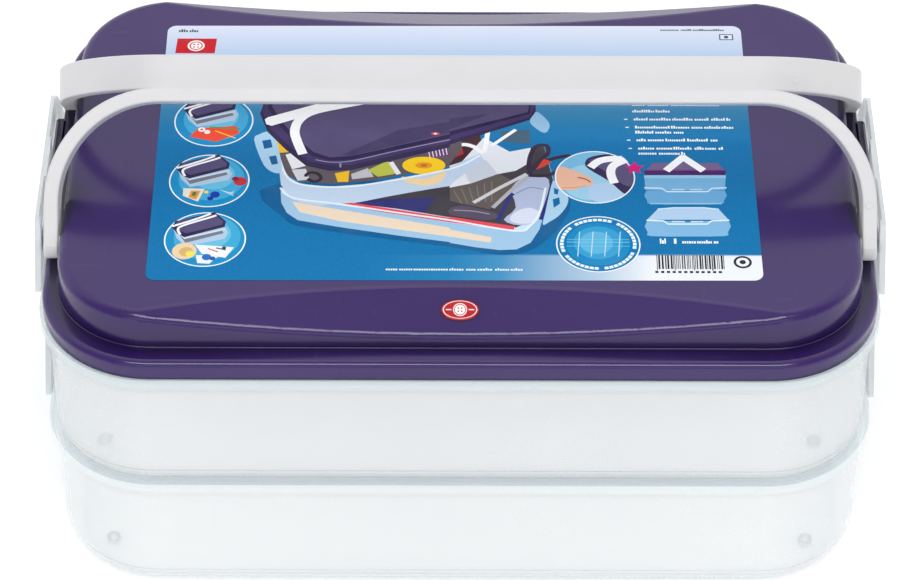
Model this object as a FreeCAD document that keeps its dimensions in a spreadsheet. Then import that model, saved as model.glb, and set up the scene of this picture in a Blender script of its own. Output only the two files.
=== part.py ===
# Stackable sewing box: two equal trays, a domed lid with two folding carry
# handles, and four snap flaps.  Millimetres, +Z up, X along the length,
# -Y to the front, origin on the floor under the middle of the box.
import FreeCAD, Part
import Sketcher
import math
import os

V = FreeCAD.Vector
Rot = FreeCAD.Rotation
doc = FreeCAD.newDocument("sewing_box")

# ---------------------------------------------------------------- dimensions
sheet = doc.addObject("Spreadsheet::Sheet", "dims")
TABLE = [
    # trays
    ("tray_len", 420.0), ("tray_wid", 280.0), ("tray_corner", 54.0),
    ("tray_high", 79.3), ("wall_thick", 2.0), ("floor_thick", 2.0),
    ("bottom_round", 12.5), ("stack_pitch", 73.4),
    ("rim_out", 4.0), ("rim_high", 6.7), ("rim_thick", 2.0), ("rim_chamfer", 1.0),
    ("foot_dia", 6.0), ("foot_high", 1.5), ("foot_x", 184.0), ("foot_y", 106.5),
    # snap lugs and flaps
    ("lug_wide", 31.0), ("lug_mid", 32.0), ("lug_high", 10.3), ("lug_reach", 215.9),
    ("flap_in", 214.9), ("flap_thick", 3.0), ("flap_up", 31.4), ("flap_low_half", 72.0),
    ("flap_top_half", 51.0), ("win_wide", 34.0), ("win_high", 11.0), ("win_rise", 1.4),
    ("hinge_x", 215.7), ("hinge_drop", 7.5), ("hinge_rad", 0.9), ("relief_x", 216.05),
    ("web_high", 1.6), ("web_thick", 0.8),
    # lid
    ("skirt_len", 424.6), ("skirt_wid", 286.0), ("skirt_corner", 58.0),
    ("skirt_high", 10.5), ("skirt_thick", 2.0), ("ledge_thick", 2.2),
    ("dome_base_len", 408.8), ("dome_base_wid", 262.6), ("dome_base_corner", 50.0),
    ("dome_top_len", 407.0), ("dome_top_wid", 255.0), ("dome_top_corner", 49.0),
    ("dome_high", 18.9), ("dome_round", 5.0), ("lid_thick", 2.2),
    ("facet_rad", 1600.0), ("facet_slope", 25.5), ("facet_y", 105.2),
    ("rib_gap", 0.6), ("rib_thick", 1.6), ("rib_depth", 4.2),
    # label and badge
    ("label_len", 310.0), ("label_wid", 205.4), ("label_corner", 5.0), ("label_thick", 0.2),
    ("label_x", -3.2), ("label_y", 1.2), ("label_turn", 0.2),
    ("badge_len", 19.0), ("badge_wid", 11.0), ("badge_thick", 0.9),
    # handles
    ("pivot_y", 62.0), ("pivot_below_top", 11.0), ("grip_reach", 79.5), ("strap_thick", 7.4),
    ("arm_out", 212.2), ("grip_corner", 59.0), ("strap_in", 10.9), ("strap_out", 7.3),
    ("arm_half", 7.5), ("arm_end", 7.5), ("stub_rad", 4.0), ("stub_gap", 0.06),
    ("stub_tip", 196.5), ("boss_rad", 7.0), ("boss_in", 196.0), ("handle_lean", 47.3),
]
P = {}
for row, (alias, value) in enumerate(TABLE, start=1):
    sheet.set("A%d" % row, alias)
    sheet.set("B%d" % row, repr(value))
    sheet.setAlias("B%d" % row, alias)
    P[alias] = value
doc.recompute()


# ------------------------------------------------------------------- helpers
def new_body(name, label=None):
    body = doc.addObject("PartDesign::Body", name)
    body.Label = label or name
    return body


def plane_of(body, role):
    return [f for f in body.Origin.OriginFeatures if f.Role == role][0]


def new_sketch(body, name, role="XY_Plane", z=0.0, z_expr=None):
    sk = body.newObject("Sketcher::SketchObject", name)
    sk.AttachmentSupport = (plane_of(body, role), [""])
    sk.MapMode = "FlatFace"
    sk.AttachmentOffset = FreeCAD.Placement(V(0, 0, z), Rot())
    if z_expr:
        sk.setExpression("AttachmentOffset.Base.z", z_expr)
    return sk


def rounded(sk, length, width, radius, e_len, e_wid, e_rad, tag=""):
    """Rounded rectangle about the sketch origin, driven by three expressions."""
    a, b, r = length / 2.0, width / 2.0, radius
    g = []
    lines = [((-a + r, -b), (a - r, -b)), ((a, -b + r), (a, b - r)),
             ((a - r, b), (-a + r, b)), ((-a, b - r), (-a, -b + r))]
    arcs = [((a - r, -b + r), -90, 0), ((a - r, b - r), 0, 90),
            ((-a + r, b - r), 90, 180), ((-a + r, -b + r), 180, 270)]
    base = sk.GeometryCount
    for (p0, p1), (c, s0, s1) in zip(lines, arcs):
        g.append(Part.LineSegment(V(p0[0], p0[1], 0), V(p1[0], p1[1], 0)))
        g.append(Part.ArcOfCircle(Part.Circle(V(c[0], c[1], 0), V(0, 0, 1), r),
                                  math.radians(s0), math.radians(s1)))
    sk.addGeometry(g, False)
    C = Sketcher.Constraint
    n = 8
    for k in range(0, n, 2):
        line, arc, nxt = base + k, base + k + 1, base + (k + 2) % n
        sk.addConstraint(C("Tangent", line, 2, arc, 1))
        sk.addConstraint(C("Tangent", arc, 2, nxt, 1))
    sk.addConstraint(C("Horizontal", base))
    sk.addConstraint(C("Vertical", base + 2))
    sk.addConstraint(C("Horizontal", base + 4))
    sk.addConstraint(C("Vertical", base + 6))
    for k in (3, 5, 7):
        sk.addConstraint(C("Equal", base + 1, base + k))
    named = [
        ("halfx" + tag, C("DistanceX", -1, 1, base + 2, 1, a), "(%s) / 2" % e_len),
        ("halfy" + tag, C("DistanceY", -1, 1, base + 4, 1, b), "(%s) / 2" % e_wid),
        ("fullx" + tag, C("DistanceX", base + 6, 1, base + 2, 1, 2 * a), e_len),
        ("fully" + tag, C("DistanceY", base, 1, base + 4, 1, 2 * b), e_wid),
        ("round" + tag, C("Radius", base + 1, r), e_rad),
    ]
    for name, con, expr in named:
        i = sk.addConstraint(con)
        sk.renameConstraint(i, name)
        sk.setExpression("Constraints." + name, expr)
    return sk


def closed_outline(sk, pts):
    """Closed polygon through pts, each corner held at its own coordinates."""
    base = sk.GeometryCount
    n = len(pts)
    C = Sketcher.Constraint
    for k in range(n):
        (x0, y0), (x1, y1) = pts[k][:2], pts[(k + 1) % n][:2]
        sk.addGeometry(Part.LineSegment(V(x0, y0, 0), V(x1, y1, 0)), False)
    for k in range(n):
        sk.addConstraint(C("Coincident", base + k, 2, base + (k + 1) % n, 1))
    for k in range(n):
        x, y = pts[k][:2]
        ex, ey = pts[k][2:]
        for axis, val, expr in (("X", x, ex), ("Y", y, ey)):
            if abs(val) < 1e-9:
                i = sk.addConstraint(C("PointOnObject", base + k, 1, -2 if axis == "X" else -1))
                continue
            i = sk.addConstraint(C("Distance" + axis, -1, 1, base + k, 1, val))
            nm = "p%s%d_%d" % (axis.lower(), base, k)
            sk.renameConstraint(i, nm)
            sk.setExpression("Constraints." + nm, expr)
    return sk


def pad(body, name, sk, length, expr, reverse=False, mid=False):
    f = body.newObject("PartDesign::Pad", name)
    f.Profile = sk
    f.Length = length
    f.setExpression("Length", expr)
    f.Reversed = reverse
    f.Midplane = mid
    body.Tip = f
    doc.recompute()
    return f


def pocket(body, name, sk, length, expr, reverse=False):
    before = body.Shape.Volume
    f = body.newObject("PartDesign::Pocket", name)
    f.Profile = sk
    f.Length = length
    f.setExpression("Length", expr)
    f.Reversed = reverse
    body.Tip = f
    doc.recompute()
    if not f.Shape.Volume < before - 1e-3:
        raise RuntimeError("pocket %s removed nothing" % name)
    return f


def edges_where(shape, test):
    return ["Edge%d" % (i + 1) for i, e in enumerate(shape.Edges) if test(e)]


def fillet(body, name, edges, radius, expr):
    last = body.Tip
    f = body.newObject("PartDesign::Fillet", name)
    f.Base = (last, edges)
    f.Radius = radius
    f.setExpression("Radius", expr)
    body.Tip = f
    doc.recompute()
    return f


def level(z, tol=1e-4):
    """Edges that lie wholly at height z."""
    def test(e):
        b = e.BoundBox
        return abs(b.ZMin - z) < tol and abs(b.ZMax - z) < tol
    return test


def cylinder(name, rad, high, e_rad, e_high, base, direction):
    c = doc.addObject("Part::Cylinder", name)
    c.Radius = rad
    c.Height = high
    c.setExpression("Radius", e_rad)
    c.setExpression("Height", e_high)
    c.Placement = FreeCAD.Placement(base, Rot(V(0, 0, 1), direction))
    return c


def multi_fuse(name, shapes):
    f = doc.addObject("Part::MultiFuse", name)
    f.Shapes = shapes
    return f


def cut(name, base, tool):
    c = doc.addObject("Part::Cut", name)
    c.Base = base
    c.Tool = tool
    return c


nodes = {}


# ------------------------------------------------------------------ the trays
# A thin-walled tray with a rounded bottom edge, a turned-down rim that the next
# piece up sits on, four small feet, a pair of snap lugs low on each end wall and
# a hinge rail under the rim at each end.
def make_tray(label):
    z0 = P["foot_high"]
    body = new_body(label + "_shell")
    sk = rounded(new_sketch(body, label + "_outer_sk", z=z0, z_expr="dims.foot_high"),
                 P["tray_len"], P["tray_wid"], P["tray_corner"],
                 "dims.tray_len", "dims.tray_wid", "dims.tray_corner")
    pad(body, label + "_wall", sk, P["tray_high"], "dims.tray_high")
    fillet(body, label + "_bottom", edges_where(body.Tip.Shape, level(z0)),
           P["bottom_round"], "dims.bottom_round")
    zr = z0 + P["tray_high"] - P["rim_high"]
    sk = rounded(new_sketch(body, label + "_rim_sk", z=zr,
                            z_expr="dims.foot_high + dims.tray_high - dims.rim_high"),
                 P["tray_len"] + 2 * P["rim_out"], P["tray_wid"] + 2 * P["rim_out"],
                 P["tray_corner"] + P["rim_out"],
                 "dims.tray_len + 2 * dims.rim_out", "dims.tray_wid + 2 * dims.rim_out",
                 "dims.tray_corner + dims.rim_out")
    pad(body, label + "_rim", sk, P["rim_high"], "dims.rim_high")

    # the hollow, kept apart so that its bottom edge can be rounded too
    core = new_body(label + "_core")
    sk = rounded(new_sketch(core, label + "_core_sk", z=z0 + P["floor_thick"],
                            z_expr="dims.foot_high + dims.floor_thick"),
                 P["tray_len"] - 2 * P["wall_thick"], P["tray_wid"] - 2 * P["wall_thick"],
                 P["tray_corner"] - P["wall_thick"],
                 "dims.tray_len - 2 * dims.wall_thick", "dims.tray_wid - 2 * dims.wall_thick",
                 "dims.tray_corner - dims.wall_thick")
    pad(core, label + "_core_pad", sk, P["tray_high"], "dims.tray_high")
    fillet(core, label + "_core_round",
           edges_where(core.Tip.Shape, level(z0 + P["floor_thick"])),
           P["bottom_round"] - P["wall_thick"], "dims.bottom_round - dims.wall_thick")

    # the channel behind the turned-down lip
    chan = new_body(label + "_channel")
    zc = zr - 1.0
    sk = new_sketch(chan, label + "_channel_sk", z=zc,
                    z_expr="dims.foot_high + dims.tray_high - dims.rim_high - 1")
    grow = P["rim_out"] - P["rim_thick"]
    rounded(sk, P["tray_len"] + 2 * grow, P["tray_wid"] + 2 * grow, P["tray_corner"] + grow,
            "dims.tray_len + 2 * (dims.rim_out - dims.rim_thick)",
            "dims.tray_wid + 2 * (dims.rim_out - dims.rim_thick)",
            "dims.tray_corner + dims.rim_out - dims.rim_thick", "a")
    rounded(sk, P["tray_len"], P["tray_wid"], P["tray_corner"],
            "dims.tray_len", "dims.tray_wid", "dims.tray_corner", "b")
    pad(chan, label + "_channel_pad", sk, P["rim_high"] - P["rim_thick"] + 1.0,
        "dims.rim_high - dims.rim_thick + 1")
    hollow = multi_fuse(label + "_hollow", [core, chan])
    shell = cut(label + "_hollowed", body, hollow)

    extras = [shell]
    for i, (sx, sy) in enumerate(((1, 1), (1, -1), (-1, 1), (-1, -1))):
        foot = cylinder("%s_foot_%d" % (label, i), P["foot_dia"] / 2, P["foot_high"] + 0.5,
                        "dims.foot_dia / 2", "dims.foot_high + 0.5",
                        V(sx * P["foot_x"], sy * P["foot_y"], 0), V(0, 0, 1))
        extras.append(foot)
    for sx in (1, -1):
        for sy in (1, -1):
            extras.append(make_lug("%s_lug_%d%d" % (label, sx > 0, sy > 0),
                                   P["tray_len"] / 2 - 0.5, "dims.tray_len / 2 - 0.5",
                                   P["tray_high"] - P["stack_pitch"] + P["foot_high"],
                                   "dims.tray_high - dims.stack_pitch + dims.foot_high", sx, sy))
        extras.append(make_rail("%s_rail_%d" % (label, sx > 0), sx))
    return multi_fuse(label + "_solid", extras)


def side_turn(sx):
    """Profiles are drawn for the +X end; the -X end is the same turned half round."""
    return Rot(V(0, 0, 1), 0 if sx > 0 else 180)


def make_lug(name, x0, e_x0, z, e_z, sx, sy):
    """Snap lug: flat underside that sits on the rim below, sloped outer face."""
    body = new_body(name)
    sk = new_sketch(body, name + "_sk", role="XZ_Plane")
    tip = P["lug_reach"]
    pts = [
        (x0, z, e_x0, e_z),
        (tip - 1.7, z, "dims.lug_reach - 1.7", e_z),
        (tip - 1.7, z + 1.6, "dims.lug_reach - 1.7", e_z + " + 1.6"),
        (tip, z + 3.4, "dims.lug_reach", e_z + " + 3.4"),
        (tip, z + P["lug_high"] - 1.2, "dims.lug_reach", e_z + " + dims.lug_high - 1.2"),
        (tip - 1.2, z + P["lug_high"], "dims.lug_reach - 1.2", e_z + " + dims.lug_high"),
        (x0, z + P["lug_high"], e_x0, e_z + " + dims.lug_high"),
    ]
    closed_outline(sk, pts)
    pad(body, name + "_pad", sk, P["lug_wide"], "dims.lug_wide", mid=True)
    body.Placement = FreeCAD.Placement(V(0, sy * P["lug_mid"], 0), side_turn(sx))
    return body


def make_rail(name, sx):
    """Hinge rail: a thin strip from the lip towards the flap's hinge bead."""
    z = P["foot_high"] + P["tray_high"] - P["rim_high"]
    e_z = "dims.foot_high + dims.tray_high - dims.rim_high"
    body = new_body(name)
    sk = new_sketch(body, name + "_sk", role="XZ_Plane")
    x0 = P["tray_len"] / 2 + P["rim_out"] - P["rim_thick"]
    ex0 = "dims.tray_len / 2 + dims.rim_out - dims.rim_thick"
    x1 = P["hinge_x"] - P["hinge_rad"] - 0.2
    ex1 = "dims.hinge_x - dims.hinge_rad - 0.2"
    pts = [(x0, z + 0.4, ex0, e_z + " + 0.4"), (x0, z - 1.4, ex0, e_z + " - 1.4"),
           (x1, z - 1.4, ex1, e_z + " - 1.4"), (x1, z - 0.2, ex1, e_z + " - 0.2"),
           (x1 - 0.6, z + 0.4, ex1 + " - 0.6", e_z + " + 0.4")]
    closed_outline(sk, pts)
    pad(body, name + "_pad", sk, 2 * P["flap_low_half"] - 8, "2 * dims.flap_low_half - 8", mid=True)
    body.Placement = FreeCAD.Placement(V(0, 0, 0), side_turn(sx))
    return body


def rim_top_inner(shape):
    z = P["foot_high"] + P["tray_high"]
    a = P["tray_len"] / 2 - P["wall_thick"]
    test = level(z)
    out = []
    for i, e in enumerate(shape.Edges):
        if test(e):
            b = e.BoundBox
            if max(abs(b.XMin), abs(b.XMax)) < a + 0.1 and max(abs(b.YMin), abs(b.YMax)) < P["tray_wid"] / 2:
                out.append(i + 1)
    return out


def finish_tray(label, lift, e_lift):
    solid = make_tray(label)
    doc.recompute()
    ch = doc.addObject("Part::Chamfer", label + "_lead_in")
    ch.Base = solid
    ch.Edges = [(i, P["rim_chamfer"], P["rim_chamfer"]) for i in rim_top_inner(solid.Shape)]
    ch.Label = label
    ch.Placement = FreeCAD.Placement(V(0, 0, lift), Rot())
    if e_lift:
        ch.setExpression("Placement.Base.z", e_lift)
    doc.recompute()
    nodes[label] = ch
    return ch


finish_tray("tray_lower", 0.0, None)
finish_tray("tray_upper", P["stack_pitch"], "dims.stack_pitch")

# heights of the closed box
Z_RIM = P["foot_high"] + P["tray_high"] + P["stack_pitch"]      # upper rim, lid sits here
E_RIM = "dims.foot_high + dims.tray_high + dims.stack_pitch"
Z_LEDGE = Z_RIM + P["skirt_high"]
E_LEDGE = E_RIM + " + dims.skirt_high"
Z_TOP = Z_LEDGE + P["dome_high"]
E_TOP = E_LEDGE + " + dims.dome_high"


# -------------------------------------------------------------------- the lid
def dome_facet(name, side, grow, e_rad):
    """Air above one long sloped facet: a very large cylinder, so the facet's two
    creases bow towards the middle like a lens."""
    slope = math.radians(P["facet_slope"])
    down = V(0, side * math.cos(slope), -math.sin(slope))
    out = V(0, side * math.sin(slope), math.cos(slope))
    start = V(0, side * P["facet_y"], Z_TOP) + out * P["facet_rad"] - down * 60.0
    return cylinder(name, P["facet_rad"] + grow, 90.0, e_rad, "90", start, down)


outer = new_body("lid_outer")
sk = rounded(new_sketch(outer, "skirt_sk", z=Z_RIM, z_expr=E_RIM),
             P["skirt_len"], P["skirt_wid"], P["skirt_corner"],
             "dims.skirt_len", "dims.skirt_wid", "dims.skirt_corner")
pad(outer, "skirt_pad", sk, P["skirt_high"], "dims.skirt_high")
fillet(outer, "skirt_edge", edges_where(outer.Tip.Shape, level(Z_LEDGE)), 3.5, "3.5")

dome = new_body("lid_dome")
s1 = rounded(new_sketch(dome, "dome_base_sk", z=Z_LEDGE - 1.0, z_expr=E_LEDGE + " - 1"),
             P["dome_base_len"], P["dome_base_wid"], P["dome_base_corner"],
             "dims.dome_base_len", "dims.dome_base_wid", "dims.dome_base_corner")
s2 = rounded(new_sketch(dome, "dome_top_sk", z=Z_TOP, z_expr=E_TOP),
             P["dome_top_len"], P["dome_top_wid"], P["dome_top_corner"],
             "dims.dome_top_len", "dims.dome_top_wid", "dims.dome_top_corner")
loft = dome.newObject("PartDesign::AdditiveLoft", "dome_loft")
loft.Profile = s1
loft.Sections = [s2]
loft.Ruled = True
dome.Tip = loft
doc.recompute()
facets = multi_fuse("facet_air", [dome_facet("facet_front", -1, 0, "dims.facet_rad"),
                                  dome_facet("facet_rear", 1, 0, "dims.facet_rad")])
faceted = cut("dome_faceted", dome, facets)
doc.recompute()


def dome_edges(shape):
    """The dome's upper edges: its rim, and both creases of each facet."""
    out = []
    for i, e in enumerate(shape.Edges):
        b = e.BoundBox
        if b.ZMin > Z_LEDGE and b.ZMax - b.ZMin < 15:
            out.append(i + 1)
    return out


dome_round = doc.addObject("Part::Fillet", "dome_rounded")
dome_round.Base = faceted
dome_round.Edges = [(i, P["dome_round"], P["dome_round"]) for i in dome_edges(faceted.Shape)]
doc.recompute()

inner_skirt = new_body("lid_inner_skirt")
sk = rounded(new_sketch(inner_skirt, "inner_skirt_sk", z=Z_RIM - 1.0, z_expr=E_RIM + " - 1"),
             P["skirt_len"] - 2 * P["skirt_thick"], P["skirt_wid"] - 2 * P["skirt_thick"],
             P["skirt_corner"] - P["skirt_thick"],
             "dims.skirt_len - 2 * dims.skirt_thick", "dims.skirt_wid - 2 * dims.skirt_thick",
             "dims.skirt_corner - dims.skirt_thick")
pad(inner_skirt, "inner_skirt_pad", sk, P["skirt_high"] - P["ledge_thick"] + 1.0,
    "dims.skirt_high - dims.ledge_thick + 1")
inner_dome = new_body("lid_inner_dome")
t = P["lid_thick"]
s1 = rounded(new_sketch(inner_dome, "inner_base_sk", z=Z_LEDGE - P["ledge_thick"] - 1.0,
                        z_expr=E_LEDGE + " - dims.ledge_thick - 1"),
             P["dome_base_len"] - 2 * t, P["dome_base_wid"] - 2 * t, P["dome_base_corner"] - t,
             "dims.dome_base_len - 2 * dims.lid_thick", "dims.dome_base_wid - 2 * dims.lid_thick",
             "dims.dome_base_corner - dims.lid_thick")
s2 = rounded(new_sketch(inner_dome, "inner_top_sk", z=Z_TOP - t, z_expr=E_TOP + " - dims.lid_thick"),
             P["dome_top_len"] - 2 * t - 1.0, P["dome_top_wid"] - 2 * t - 1.0, P["dome_top_corner"] - t,
             "dims.dome_top_len - 2 * dims.lid_thick - 1", "dims.dome_top_wid - 2 * dims.lid_thick - 1",
             "dims.dome_top_corner - dims.lid_thick")
loft = inner_dome.newObject("PartDesign::AdditiveLoft", "inner_loft")
loft.Profile = s1
loft.Sections = [s2]
loft.Ruled = True
inner_dome.Tip = loft
inner_facets = multi_fuse("inner_facet_air",
                          [dome_facet("inner_facet_front", -1, t, "dims.facet_rad + dims.lid_thick"),
                           dome_facet("inner_facet_rear", 1, t, "dims.facet_rad + dims.lid_thick")])
inner_dome_cut = cut("inner_dome_cut", inner_dome, inner_facets)
lid_hollow = multi_fuse("lid_hollow", [inner_skirt, inner_dome_cut])
lid_solid = multi_fuse("lid_solid", [outer, dome_round])
lid_shell = cut("lid_shell", lid_solid, lid_hollow)

# locating rib that drops just inside the tray wall
rib = new_body("lid_rib")
sk = new_sketch(rib, "rib_sk", z=Z_RIM - P["rib_depth"], z_expr=E_RIM + " - dims.rib_depth")
g = P["wall_thick"] + P["rib_gap"]
rounded(sk, P["tray_len"] - 2 * g, P["tray_wid"] - 2 * g, P["tray_corner"] - g,
        "dims.tray_len - 2 * (dims.wall_thick + dims.rib_gap)",
        "dims.tray_wid - 2 * (dims.wall_thick + dims.rib_gap)",
        "dims.tray_corner - dims.wall_thick - dims.rib_gap", "a")
g2 = g + P["rib_thick"]
rounded(sk, P["tray_len"] - 2 * g2, P["tray_wid"] - 2 * g2, P["tray_corner"] - g2,
        "dims.tray_len - 2 * (dims.wall_thick + dims.rib_gap + dims.rib_thick)",
        "dims.tray_wid - 2 * (dims.wall_thick + dims.rib_gap + dims.rib_thick)",
        "dims.tray_corner - dims.wall_thick - dims.rib_gap - dims.rib_thick", "b")
pad(rib, "rib_pad", sk, P["rib_depth"] + P["skirt_high"] - P["ledge_thick"] + 0.5,
    "dims.rib_depth + dims.skirt_high - dims.ledge_thick + 0.5")

# bosses and sockets for the handle stubs, lugs on the skirt's ends
Z_PIV = Z_TOP - P["pivot_below_top"]
bosses, sockets, lugs = [], [], []
for sx in (1, -1):
    for sy in (1, -1):
        tag = "%d%d" % (sx > 0, sy > 0)
        bosses.append(cylinder("boss_" + tag, P["boss_rad"], 7.0, "dims.boss_rad", "7",
                               V(sx * P["boss_in"], sy * P["pivot_y"], Z_PIV), V(sx, 0, 0)))
        sockets.append(cylinder("socket_" + tag, P["stub_rad"] + P["stub_gap"], 20.0,
                                "dims.stub_rad + dims.stub_gap", "20",
                                V(sx * (P["boss_in"] - 3), sy * P["pivot_y"], Z_PIV), V(sx, 0, 0)))
        lugs.append(make_lug("lid_lug_" + tag, P["skirt_len"] / 2 - 0.5, "dims.skirt_len / 2 - 0.5",
                             Z_RIM, E_RIM, sx, sy))
lid_full = multi_fuse("lid_full", [lid_shell, rib] + bosses + lugs)
lid = cut("lid_cut", lid_full, multi_fuse("lid_sockets", sockets))
lid.Label = "lid"
nodes["lid"] = lid
doc.recompute()

# ------------------------------------------------------------ label and badge
lab = new_body("label_body", "top_label")
sk = rounded(new_sketch(lab, "label_sk", z=Z_TOP, z_expr=E_TOP),
             P["label_len"], P["label_wid"], P["label_corner"],
             "dims.label_len", "dims.label_wid", "dims.label_corner")
pad(lab, "label_pad", sk, P["label_thick"], "dims.label_thick")
lab.Placement = FreeCAD.Placement(V(P["label_x"], P["label_y"], 0), Rot(V(0, 0, 1), P["label_turn"]))
lab.setExpression("Placement.Base.x", "dims.label_x")
lab.setExpression("Placement.Base.y", "dims.label_y")
nodes["top_label"] = lab

badge = new_body("badge_body", "badge")
sk = new_sketch(badge, "badge_sk")
a, b = P["badge_len"] / 2, P["badge_wid"] / 2
sk.addGeometry(Part.Ellipse(V(a, 0, 0), V(0, b, 0), V(0, 0, 0)), False)
sk.exposeInternalGeometry(0)
C = Sketcher.Constraint
sk.addConstraint(C("Coincident", 0, 3, -1, 1))
for nm, geo, val, expr in (("major", 1, 2 * a, "dims.badge_len"), ("minor", 2, 2 * b, "dims.badge_wid")):
    i = sk.addConstraint(C("Distance", geo, 1, geo, 2, val))
    sk.renameConstraint(i, nm)
    sk.setExpression("Constraints." + nm, expr)
sk.addConstraint(C("Horizontal", 1))
pad(badge, "badge_pad", sk, P["badge_thick"], "dims.badge_thick")
fillet(badge, "badge_edge", edges_where(badge.Tip.Shape, level(P["badge_thick"])), 0.45, "dims.badge_thick / 2")
slope = math.radians(P["facet_slope"])
along = 13.4
pos = V(0, -P["facet_y"] - along * math.cos(slope), Z_TOP - along * math.sin(slope)) \
    + V(0, -math.sin(slope), math.cos(slope)) * 0.035
badge.Placement = FreeCAD.Placement(pos, Rot(V(1, 0, 0), P["facet_slope"]))
nodes["badge"] = badge


# ---------------------------------------------------------------- the handles
# A flat U-shaped strap.  Drawn lying in the XY plane of its own body: X across,
# Y from the pivots to the grip, Z through the strap's width.
def make_handle(label, side):
    body = new_body(label + "_strap")
    r, th, reach, ax = P["grip_corner"], P["strap_thick"], P["grip_reach"], P["arm_out"]
    low = -P["arm_end"]
    sk = new_sketch(body, label + "_sk", z=-P["strap_in"], z_expr="-dims.strap_in")
    C = Sketcher.Constraint
    ri = r - th
    L, A = Part.LineSegment, Part.ArcOfCircle
    cx, cy = ax - r, reach - r
    geo = [
        L(V(ax, low, 0), V(ax, cy, 0)),
        A(Part.Circle(V(cx, cy, 0), V(0, 0, 1), r), 0, math.pi / 2),
        L(V(cx, reach, 0), V(-cx, reach, 0)),
        A(Part.Circle(V(-cx, cy, 0), V(0, 0, 1), r), math.pi / 2, math.pi),
        L(V(-ax, cy, 0), V(-ax, low, 0)),
        L(V(-ax, low, 0), V(-ax + th, low, 0)),
        L(V(-ax + th, low, 0), V(-ax + th, cy, 0)),
        A(Part.Circle(V(-cx, cy, 0), V(0, 0, 1), ri), math.pi / 2, math.pi),
        L(V(-cx, reach - th, 0), V(cx, reach - th, 0)),
        A(Part.Circle(V(cx, cy, 0), V(0, 0, 1), ri), 0, math.pi / 2),
        L(V(ax - th, cy, 0), V(ax - th, low, 0)),
        L(V(ax - th, low, 0), V(ax, low, 0)),
    ]
    sk.addGeometry(geo, False)
    for a1, e1, a2, e2 in ((0, 2, 1, 1), (1, 2, 2, 1), (2, 2, 3, 1), (3, 2, 4, 1),
                           (6, 2, 7, 2), (7, 1, 8, 1), (8, 2, 9, 2), (9, 1, 10, 1)):
        sk.addConstraint(C("Tangent", a1, e1, a2, e2))
    for a1, e1, a2, e2 in ((4, 2, 5, 1), (5, 2, 6, 1), (10, 2, 11, 1), (11, 2, 0, 1)):
        sk.addConstraint(C("Coincident", a1, e1, a2, e2))
    for k in (0, 4, 6, 10):
        sk.addConstraint(C("Vertical", k))
    for k in (2, 8, 5, 11):
        sk.addConstraint(C("Horizontal", k))
    sk.addConstraint(C("Coincident", 1, 3, 9, 3))
    sk.addConstraint(C("Coincident", 3, 3, 7, 3))
    for nm, con, expr in (
            ("armr", C("DistanceX", -1, 1, 0, 1, ax), "dims.arm_out"),
            ("arml", C("DistanceX", 4, 2, -1, 1, ax), "dims.arm_out"),
            ("reach", C("DistanceY", -1, 1, 2, 1, reach), "dims.grip_reach"),
            ("low", C("DistanceY", 0, 1, -1, 1, -low), "dims.arm_end"),
            ("lowl", C("DistanceY", 4, 2, -1, 1, -low), "dims.arm_end"),
            ("rout", C("Radius", 1, r), "dims.grip_corner"),
            ("routl", C("Radius", 3, r), "dims.grip_corner"),
            ("rin", C("Radius", 9, ri), "dims.grip_corner - dims.strap_thick")):
        i = sk.addConstraint(con)
        sk.renameConstraint(i, nm)
        sk.setExpression("Constraints." + nm, expr)
    pad(body, label + "_pad", sk, P["strap_in"] + P["strap_out"], "dims.strap_in + dims.strap_out")

    # side profile: the strap keeps its inner line down to the pivots, where a
    # bevel lies along the ledge when the handle leans in; each arm ends in a
    # half round about its pivot
    prof = new_body(label + "_profile")
    sk = new_sketch(prof, label + "_profile_sk", role="YZ_Plane")
    hi, ai, ao = P["arm_half"], P["strap_in"], P["strap_out"]
    end = reach + 5
    lean = math.radians(P["handle_lean"])
    a_bev = -math.pi / 2 - lean
    bev = V(hi * math.cos(a_bev), hi * math.sin(a_bev), 0)
    # where the bevel meets the inner line
    knee = V((hi + ai * math.sin(a_bev)) / math.cos(a_bev), -ai, 0)
    d_out = math.hypot(end, ao)
    a_hi = math.atan2(ao, end) + math.acos(hi / d_out)
    p_hi = V(hi * math.cos(a_hi), hi * math.sin(a_hi), 0)
    geo = [
        L(bev, knee),
        L(knee, V(end, -ai, 0)),
        L(V(end, -ai, 0), V(end, ao, 0)),
        L(V(end, ao, 0), p_hi),
        A(Part.Circle(V(0, 0, 0), V(0, 0, 1), hi), a_hi, a_bev + 2 * math.pi),
    ]
    sk.addGeometry(geo, False)
    sk.addConstraint(C("Coincident", 0, 2, 1, 1))
    sk.addConstraint(C("Coincident", 1, 2, 2, 1))
    sk.addConstraint(C("Coincident", 2, 2, 3, 1))
    sk.addConstraint(C("Tangent", 3, 2, 4, 1))
    sk.addConstraint(C("Tangent", 4, 2, 0, 1))
    sk.addConstraint(C("Coincident", 4, 3, -1, 1))
    sk.addConstraint(C("Horizontal", 1))
    sk.addConstraint(C("Vertical", 2))
    for nm, con, expr in (
            ("gin", C("DistanceY", 1, 2, -1, 1, ai), "dims.strap_in"),
            ("gout", C("DistanceY", -1, 1, 3, 1, ao), "dims.strap_out"),
            ("endr", C("Radius", 4, hi), "dims.arm_half"),
            ("far", C("DistanceX", -1, 1, 2, 1, end), "dims.grip_reach + 5"),
            ("kneex", C("DistanceX", -1, 1, 0, 2, knee.x), None)):
        i = sk.addConstraint(con)
        sk.renameConstraint(i, nm)
        if expr:
            sk.setExpression("Constraints." + nm, expr)
    pad(prof, label + "_profile_pad", sk, 2 * ax + 20, "2 * dims.arm_out + 20", mid=True)
    common = doc.addObject("Part::Common", label + "_common")
    common.Base = body
    common.Tool = prof
    doc.recompute()

    # soft edges all round the strap
    soft = doc.addObject("Part::Fillet", label + "_soft")
    soft.Base = common
    sel = []
    for i, ed in enumerate(common.Shape.Edges):
        bb = ed.BoundBox
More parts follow.
